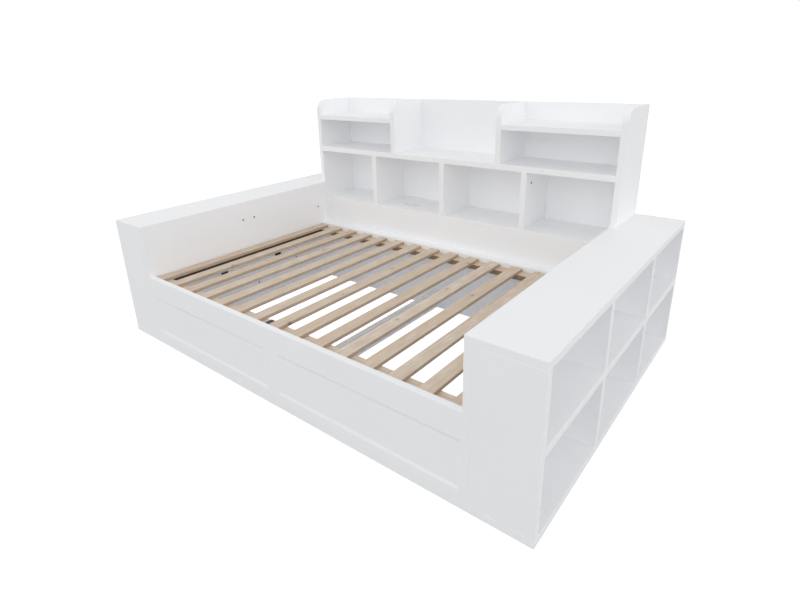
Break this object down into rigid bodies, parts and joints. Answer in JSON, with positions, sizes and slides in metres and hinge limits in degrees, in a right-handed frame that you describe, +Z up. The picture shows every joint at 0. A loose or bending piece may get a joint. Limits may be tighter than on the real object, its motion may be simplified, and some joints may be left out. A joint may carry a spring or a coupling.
{
  "type": "storage daybed",
  "caption": "Fixed daybed: slatted mattress well between two cubby storage units whose shelves open outwards, with a shelved bookcase standing behind it.",
  "frame": {"origin": "centre of the footprint, on the floor", "axes": "+X along the bed from the left unit to the right unit, -Y towards the open front, +Z up"},
  "size_m": [2.46, 1.625, 1.206],
  "materials": {
    "white_lacquer": "white satin lacquer on board",
    "pine": "planed, unvarnished pine",
    "dark_steel": "black oxide screw heads and fittings"
  },
  "bodies": {
    "root": {"left_inner_side": "white_lacquer", "left_top_board": "white_lacquer", "left_bottom_board": "white_lacquer", "left_front_end": "white_lacquer", "left_back_end": "white_lacquer", "left_middle_shelf": "white_lacquer", "left_lower_divider_1": "white_lacquer", "left_lower_divider_2": "white_lacquer", "left_upper_divider_1": "white_lacquer", "left_upper_divider_2": "white_lacquer", "right_inner_side": "white_lacquer", "right_top_board": "white_lacquer", "right_bottom_board": "white_lacquer", "right_front_end": "white_lacquer", "right_back_end": "white_lacquer", "right_middle_shelf": "white_lacquer", "right_lower_divider_1": "white_lacquer", "right_lower_divider_2": "white_lacquer", "right_upper_divider_1": "white_lacquer", "right_upper_divider_2": "white_lacquer", "front_panel": "white_lacquer", "back_rail": "white_lacquer", "front_ledger": "pine", "back_ledger": "pine", "left_ledger": "pine", "right_ledger": "pine", "floor_beam": "white_lacquer", "slat_1": "pine", "slat_2": "pine", "slat_3": "pine", "slat_4": "pine", "slat_5": "pine", "slat_6": "pine", "slat_7": "pine", "slat_8": "pine", "slat_9": "pine", "slat_10": "pine", "slat_11": "pine", "slat_12": "pine", "slat_13": "pine", "slat_14": "pine", "slat_15": "pine", "bottom_shelf": "white_lacquer", "main_shelf": "white_lacquer", "bookcase_back": "white_lacquer", "cubby_divider_1": "white_lacquer", "cubby_divider_2": "white_lacquer", "cubby_divider_3": "white_lacquer", "left_bookcase_side": "white_lacquer", "right_bookcase_side": "white_lacquer", "left_display_side": "white_lacquer", "right_display_side": "white_lacquer", "left_tray_shelf": "white_lacquer", "right_tray_shelf": "white_lacquer", "apron": "white_lacquer", "base_rail": "white_lacquer"}
  },
  "joints": []
}
